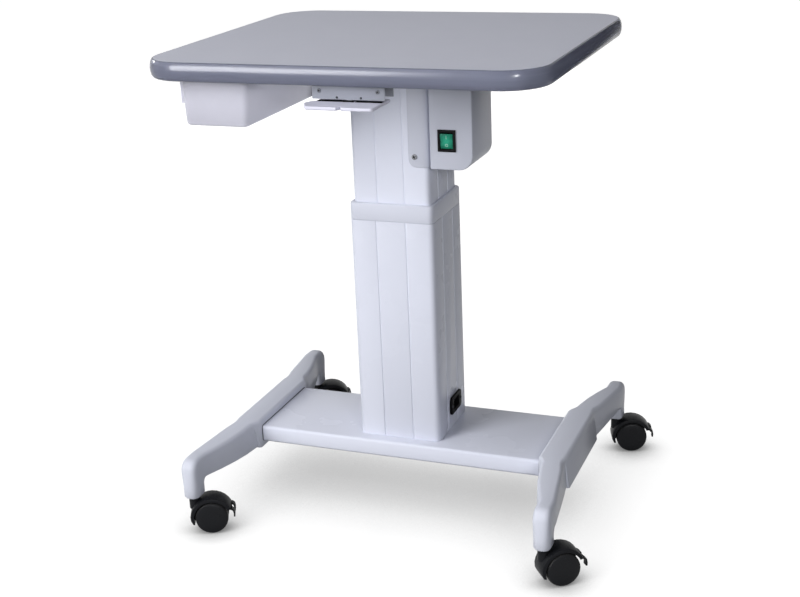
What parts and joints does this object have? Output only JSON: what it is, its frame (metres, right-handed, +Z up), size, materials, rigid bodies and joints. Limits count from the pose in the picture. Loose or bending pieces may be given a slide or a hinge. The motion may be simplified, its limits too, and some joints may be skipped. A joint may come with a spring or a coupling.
{
  "type": "motorized instrument table",
  "caption": "Free-standing instrument table with a grey moulded-edge top on a powered telescopic square column, drawer, control paddle, mains switch box and castored cast legs.",
  "frame": {"origin": "middle of the overall bounding box's underside, on the floor", "axes": "+Z up, -Y towards the user's side with the drawer and paddle, +X towards the switch box"},
  "size_m": [0.6318, 0.5584, 0.736],
  "materials": {
    "laminate": "satin grey laminate on particle board",
    "moulding": "blue-grey edge moulding",
    "white_paint": "pale grey-white powder coat",
    "white_cast": "pale grey-white powder coat on hollow-cast light alloy",
    "white_plastic": "pale satin plastic",
    "dark_steel": "dark plated steel",
    "steel": "plain steel",
    "black_plastic": "black satin plastic",
    "wheel_black": "black nylon",
    "green_plastic": "translucent green",
    "glide_plastic": "pale acetal",
    "board_green": "green circuit board",
    "motor_zinc": "plain die-cast and plated shell"
  },
  "bodies": {
    "base": {"base_beam": "white_paint", "leg_left": "white_cast", "leg_right": "white_cast", "outer_column": "white_paint", "column_collar": "white_paint", "column_foot": "dark_steel", "upper_glide": "glide_plastic", "actuator_bracket": "dark_steel", "actuator_pin_lower": "steel", "actuator_gearbox": "motor_zinc", "actuator_motor": "motor_zinc", "actuator_tube": "steel", "mains_inlet": "black_plastic", "caster_fl_stem": "steel", "caster_fr_stem": "steel", "caster_rl_stem": "steel", "caster_rr_stem": "steel"},
    "lift": {"table_top": "laminate", "edge_moulding": "moulding", "top_mount_plate": "dark_steel", "inner_column": "white_paint", "lower_glide": "glide_plastic", "push_tube": "steel", "actuator_top_bracket": "dark_steel", "actuator_pin_upper": "steel", "control_box": "white_paint", "power_switch_bezel": "black_plastic", "control_board": "board_green", "transformer": "dark_steel", "paddle_bracket": "white_paint", "paddle_pin": "steel", "microswitch_left": "black_plastic", "microswitch_right": "black_plastic", "drawer_rail_left": "white_plastic", "drawer_rail_right": "white_plastic"},
    "screw": {"lead_screw": "steel"},
    "drawer": {"drawer": "white_plastic"},
    "paddle": {"control_paddle": "white_plastic"},
    "rocker": {"power_switch_rocker": "green_plastic"},
    "caster_fl": {"caster_fl_hood": "black_plastic"},
    "caster_fl_wheel_a": {"caster_fl_wheel_a": "wheel_black"},
    "caster_fl_wheel_b": {"caster_fl_wheel_b": "wheel_black"},
    "caster_fl_brake": {"caster_fl_brake": "black_plastic"},
    "caster_fr": {"caster_fr_hood": "black_plastic"},
    "caster_fr_wheel_a": {"caster_fr_wheel_a": "wheel_black"},
    "caster_fr_wheel_b": {"caster_fr_wheel_b": "wheel_black"},
    "caster_fr_brake": {"caster_fr_brake": "black_plastic"},
    "caster_rl": {"caster_rl_hood": "black_plastic"},
    "caster_rl_wheel_a": {"caster_rl_wheel_a": "wheel_black"},
    "caster_rl_wheel_b": {"caster_rl_wheel_b": "wheel_black"},
    "caster_rl_brake": {"caster_rl_brake": "black_plastic"},
    "caster_rr": {"caster_rr_hood": "black_plastic"},
    "caster_rr_wheel_a": {"caster_rr_wheel_a": "wheel_black"},
    "caster_rr_wheel_b": {"caster_rr_wheel_b": "wheel_black"},
    "caster_rr_brake": {"caster_rr_brake": "black_plastic"}
  },
  "joints": [
    {"name": "lift_slide", "type": "slide", "parent": "base", "child": "lift", "axis": [0, 0, 1], "range_m": [-0.05, 0.16]},
    {"name": "screw_spin", "type": "hinge", "parent": "base", "child": "screw", "pos_m": [-0.04522, 0.00646, 0.1863], "axis": [0, 0, 1], "continuous": true},
    {"name": "drawer_slide", "type": "slide", "parent": "lift", "child": "drawer", "axis": [0, -1, 0], "range_m": [0, 0.16]},
    {"name": "paddle_rock", "type": "hinge", "parent": "lift", "child": "paddle", "pos_m": [-0.00347, -0.22754, 0.6952], "axis": [0, 1, 0], "range_deg": [-3.2, 3.2], "stiffness_Nm_per_rad": 4},
    {"name": "rocker_tilt", "type": "hinge", "parent": "lift", "child": "rocker", "pos_m": [0.06858, -0.05809, 0.596], "axis": [1, 0, 0], "range_deg": [-14, 0]},
    {"name": "caster_fl_swivel", "type": "hinge", "parent": "base", "child": "caster_fl", "pos_m": [-0.30207, -0.22954, 0.0595], "axis": [0, 0, 1], "continuous": true},
    {"name": "caster_fl_roll_a", "type": "hinge", "parent": "caster_fl", "child": "caster_fl_wheel_a", "pos_m": [-0.27941, -0.21897, 0.0255], "axis": [-0.4226, 0.9063, 0], "continuous": true},
    {"name": "caster_fl_roll_b", "type": "hinge", "parent": "caster_fl", "child": "caster_fl_wheel_b", "pos_m": [-0.27941, -0.21897, 0.0255], "axis": [-0.4226, 0.9063, 0], "continuous": true},
    {"name": "caster_fl_brake_press", "type": "hinge", "parent": "caster_fl", "child": "caster_fl_brake", "pos_m": [-0.25424, -0.20724, 0.0381], "axis": [-0.4226, 0.9063, 0], "range_deg": [0, 15]},
    {"name": "caster_fr_swivel", "type": "hinge", "parent": "base", "child": "caster_fr", "pos_m": [0.25313, -0.22954, 0.0595], "axis": [0, 0, 1], "continuous": true},
    {"name": "caster_fr_roll_a", "type": "hinge", "parent": "caster_fr", "child": "caster_fr_wheel_a", "pos_m": [0.2731, -0.21449, 0.0255], "axis": [-0.6018, 0.7986, 0], "continuous": true},
    {"name": "caster_fr_roll_b", "type": "hinge", "parent": "caster_fr", "child": "caster_fr_wheel_b", "pos_m": [0.2731, -0.21449, 0.0255], "axis": [-0.6018, 0.7986, 0], "continuous": true},
    {"name": "caster_fr_brake_press", "type": "hinge", "parent": "caster_fr", "child": "caster_fr_brake", "pos_m": [0.29528, -0.19778, 0.0381], "axis": [-0.6018, 0.7986, 0], "range_deg": [0, 15]},
    {"name": "caster_rl_swivel", "type": "hinge", "parent": "base", "child": "caster_rl", "pos_m": [-0.30207, 0.23846, 0.0595], "axis": [0, 0, 1], "continuous": true},
    {"name": "caster_rl_roll_a", "type": "hinge", "parent": "caster_rl", "child": "caster_rl_wheel_a", "pos_m": [-0.27979, 0.24981, 0.0255], "axis": [-0.454, 0.891, 0], "continuous": true},
    {"name": "caster_rl_roll_b", "type": "hinge", "parent": "caster_rl", "child": "caster_rl_wheel_b", "pos_m": [-0.27979, 0.24981, 0.0255], "axis": [-0.454, 0.891, 0], "continuous": true},
    {"name": "caster_rl_brake_press", "type": "hinge", "parent": "caster_rl", "child": "caster_rl_brake", "pos_m": [-0.25505, 0.26242, 0.0381], "axis": [-0.454, 0.891, 0], "range_deg": [0, 15]},
    {"name": "caster_rr_swivel", "type": "hinge", "parent": "base", "child": "caster_rr", "pos_m": [0.25313, 0.23846, 0.0595], "axis": [0, 0, 1], "continuous": true},
    {"name": "caster_rr_roll_a", "type": "hinge", "parent": "caster_rr", "child": "caster_rr_wheel_a", "pos_m": [0.27677, 0.2466, 0.0255], "axis": [-0.3256, 0.9455, 0], "continuous": true},
    {"name": "caster_rr_roll_b", "type": "hinge", "parent": "caster_rr", "child": "caster_rr_wheel_b", "pos_m": [0.27677, 0.2466, 0.0255], "axis": [-0.3256, 0.9455, 0], "continuous": true},
    {"name": "caster_rr_brake_press", "type": "hinge", "parent": "caster_rr", "child": "caster_rr_brake", "pos_m": [0.30303, 0.25564, 0.0381], "axis": [-0.3256, 0.9455, 0], "range_deg": [0, 15]}
  ],
  "couplings": [
    {"joint": "screw_spin", "follows": "lift_slide", "rad_per_m": 785.4}
  ]
}
